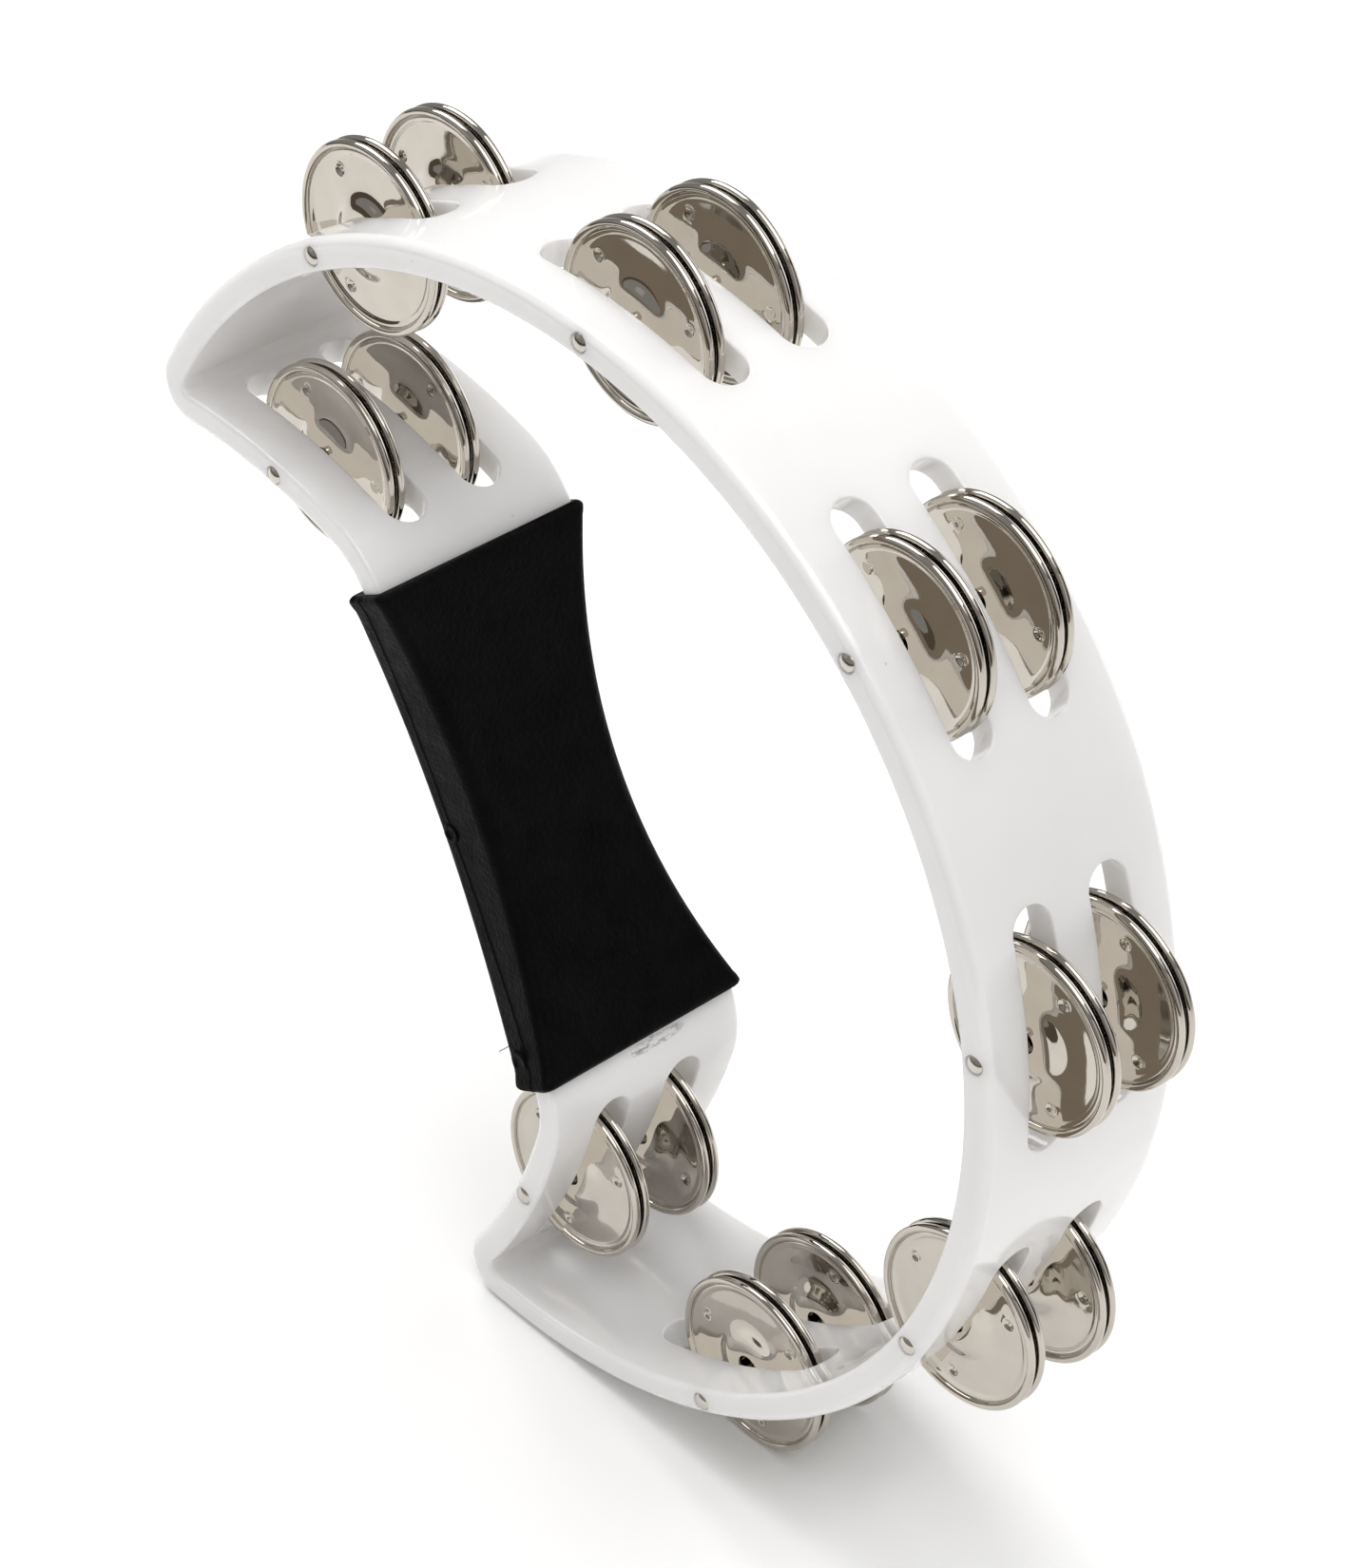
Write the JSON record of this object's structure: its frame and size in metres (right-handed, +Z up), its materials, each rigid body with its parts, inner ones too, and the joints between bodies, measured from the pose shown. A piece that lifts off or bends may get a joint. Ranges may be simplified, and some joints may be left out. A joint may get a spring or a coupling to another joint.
{
  "type": "tambourine",
  "caption": "Crescent hand tambourine: a white moulded frame with a black grip on its handle and rows of paired metal jingles in slots round its edge.",
  "frame": {"origin": "on the surface it stands on, under the middle of the overall box", "axes": "+Y across the band, from the rim with the pin heads to the other rim; +Z up from the surface; +X from the horns towards the bulge of the crescent"},
  "size_m": [0.2515, 0.0538, 0.2651],
  "materials": {
    "frame": "glossy white moulded plastic",
    "grip": "matte black, finely grained",
    "jingles": "bright nickel plate",
    "pins": "bright nickel plate"
  },
  "bodies": {
    "frame": {"frame": "frame", "grip": "grip", "pin_1": "pins", "pin_2": "pins", "pin_3": "pins", "pin_4": "pins", "pin_5": "pins", "pin_6": "pins", "pin_7": "pins", "pin_8": "pins"},
    "jingle_1a": {"jingle_1a": "jingles"},
    "jingle_1b": {"jingle_1b": "jingles"},
    "jingle_1c": {"jingle_1c": "jingles"},
    "jingle_1d": {"jingle_1d": "jingles"},
    "jingle_2a": {"jingle_2a": "jingles"},
    "jingle_2b": {"jingle_2b": "jingles"},
    "jingle_2c": {"jingle_2c": "jingles"},
    "jingle_2d": {"jingle_2d": "jingles"},
    "jingle_3a": {"jingle_3a": "jingles"},
    "jingle_3b": {"jingle_3b": "jingles"},
    "jingle_3c": {"jingle_3c": "jingles"},
    "jingle_3d": {"jingle_3d": "jingles"},
    "jingle_4a": {"jingle_4a": "jingles"},
    "jingle_4b": {"jingle_4b": "jingles"},
    "jingle_4c": {"jingle_4c": "jingles"},
    "jingle_4d": {"jingle_4d": "jingles"},
    "jingle_5a": {"jingle_5a": "jingles"},
    "jingle_5b": {"jingle_5b": "jingles"},
    "jingle_5c": {"jingle_5c": "jingles"},
    "jingle_5d": {"jingle_5d": "jingles"},
    "jingle_6a": {"jingle_6a": "jingles"},
    "jingle_6b": {"jingle_6b": "jingles"},
    "jingle_6c": {"jingle_6c": "jingles"},
    "jingle_6d": {"jingle_6d": "jingles"},
    "jingle_7a": {"jingle_7a": "jingles"},
    "jingle_7b": {"jingle_7b": "jingles"},
    "jingle_7c": {"jingle_7c": "jingles"},
    "jingle_7d": {"jingle_7d": "jingles"},
    "jingle_8a": {"jingle_8a": "jingles"},
    "jingle_8b": {"jingle_8b": "jingles"},
    "jingle_8c": {"jingle_8c": "jingles"},
    "jingle_8d": {"jingle_8d": "jingles"}
  },
  "joints": [
    {"name": "jingle_1a_slide", "type": "slide", "parent": "frame", "child": "jingle_1a", "axis": [0, 1, 0], "range_m": [-0.0016, 0.0007]},
    {"name": "jingle_1b_spin", "type": "hinge", "parent": "frame", "child": "jingle_1b", "pos_m": [-0.07838, -0.00975, 0.22692], "axis": [0, 1, 0], "continuous": true},
    {"name": "jingle_1c_slide", "type": "slide", "parent": "frame", "child": "jingle_1c", "axis": [0, 1, 0], "range_m": [-0.0016, 0.0007]},
    {"name": "jingle_1d_spin", "type": "hinge", "parent": "frame", "child": "jingle_1d", "pos_m": [-0.07838, 0.00975, 0.22692], "axis": [0, 1, 0], "continuous": true},
    {"name": "jingle_2a_slide", "type": "slide", "parent": "frame", "child": "jingle_2a", "axis": [0, 1, 0], "range_m": [-0.0016, 0.0007]},
    {"name": "jingle_2b_spin", "type": "hinge", "parent": "frame", "child": "jingle_2b", "pos_m": [-0.0038, -0.00975, 0.24533], "axis": [0, 1, 0], "continuous": true},
    {"name": "jingle_2c_slide", "type": "slide", "parent": "frame", "child": "jingle_2c", "axis": [0, 1, 0], "range_m": [-0.0016, 0.0007]},
    {"name": "jingle_2d_spin", "type": "hinge", "parent": "frame", "child": "jingle_2d", "pos_m": [-0.0038, 0.00975, 0.24533], "axis": [0, 1, 0], "continuous": true},
    {"name": "jingle_3a_slide", "type": "slide", "parent": "frame", "child": "jingle_3a", "axis": [0, 1, 0], "range_m": [-0.0016, 0.0007]},
    {"name": "jingle_3b_spin", "type": "hinge", "parent": "frame", "child": "jingle_3b", "pos_m": [0.06699, -0.00975, 0.21551], "axis": [0, 1, 0], "continuous": true},
    {"name": "jingle_3c_slide", "type": "slide", "parent": "frame", "child": "jingle_3c", "axis": [0, 1, 0], "range_m": [-0.0016, 0.0007]},
    {"name": "jingle_3d_spin", "type": "hinge", "parent": "frame", "child": "jingle_3d", "pos_m": [0.06699, 0.00975, 0.21551], "axis": [0, 1, 0], "continuous": true},
    {"name": "jingle_4a_slide", "type": "slide", "parent": "frame", "child": "jingle_4a", "axis": [0, 1, 0], "range_m": [-0.0016, 0.0007]},
    {"name": "jingle_4b_spin", "type": "hinge", "parent": "frame", "child": "jingle_4b", "pos_m": [0.10594, -0.00975, 0.1493], "axis": [0, 1, 0], "continuous": true},
    {"name": "jingle_4c_slide", "type": "slide", "parent": "frame", "child": "jingle_4c", "axis": [0, 1, 0], "range_m": [-0.0016, 0.0007]},
    {"name": "jingle_4d_spin", "type": "hinge", "parent": "frame", "child": "jingle_4d", "pos_m": [0.10594, 0.00975, 0.1493], "axis": [0, 1, 0], "continuous": true},
    {"name": "jingle_5a_slide", "type": "slide", "parent": "frame", "child": "jingle_5a", "axis": [0, 1, 0], "range_m": [-0.0016, 0.0007]},
    {"name": "jingle_5b_spin", "type": "hinge", "parent": "frame", "child": "jingle_5b", "pos_m": [0.09759, -0.00975, 0.07294], "axis": [0, 1, 0], "continuous": true},
    {"name": "jingle_5c_slide", "type": "slide", "parent": "frame", "child": "jingle_5c", "axis": [0, 1, 0], "range_m": [-0.0016, 0.0007]},
    {"name": "jingle_5d_spin", "type": "hinge", "parent": "frame", "child": "jingle_5d", "pos_m": [0.09759, 0.00975, 0.07294], "axis": [0, 1, 0], "continuous": true},
    {"name": "jingle_6a_slide", "type": "slide", "parent": "frame", "child": "jingle_6a", "axis": [0, 1, 0], "range_m": [-0.0016, 0.0007]},
    {"name": "jingle_6b_spin", "type": "hinge", "parent": "frame", "child": "jingle_6b", "pos_m": [0.04526, -0.00975, 0.0198], "axis": [0, 1, 0], "continuous": true},
    {"name": "jingle_6c_slide", "type": "slide", "parent": "frame", "child": "jingle_6c", "axis": [0, 1, 0], "range_m": [-0.0016, 0.0007]},
    {"name": "jingle_6d_spin", "type": "hinge", "parent": "frame", "child": "jingle_6d", "pos_m": [0.04526, 0.00975, 0.0198], "axis": [0, 1, 0], "continuous": true},
    {"name": "jingle_7a_slide", "type": "slide", "parent": "frame", "child": "jingle_7a", "axis": [0, 1, 0], "range_m": [-0.0016, 0.0007]},
    {"name": "jingle_7b_spin", "type": "hinge", "parent": "frame", "child": "jingle_7b", "pos_m": [-0.09009, -0.00975, 0.17058], "axis": [0, 1, 0], "continuous": true},
    {"name": "jingle_7c_slide", "type": "slide", "parent": "frame", "child": "jingle_7c", "axis": [0, 1, 0], "range_m": [-0.0016, 0.0007]},
    {"name": "jingle_7d_spin", "type": "hinge", "parent": "frame", "child": "jingle_7d", "pos_m": [-0.09009, 0.00975, 0.17058], "axis": [0, 1, 0], "continuous": true},
    {"name": "jingle_8a_slide", "type": "slide", "parent": "frame", "child": "jingle_8a", "axis": [0, 1, 0], "range_m": [-0.0016, 0.0007]},
    {"name": "jingle_8b_spin", "type": "hinge", "parent": "frame", "child": "jingle_8b", "pos_m": [-0.00967, -0.00975, 0.03384], "axis": [0, 1, 0], "continuous": true},
    {"name": "jingle_8c_slide", "type": "slide", "parent": "frame", "child": "jingle_8c", "axis": [0, 1, 0], "range_m": [-0.0016, 0.0007]},
    {"name": "jingle_8d_spin", "type": "hinge", "parent": "frame", "child": "jingle_8d", "pos_m": [-0.00967, 0.00975, 0.03384], "axis": [0, 1, 0], "continuous": true}
  ]
}
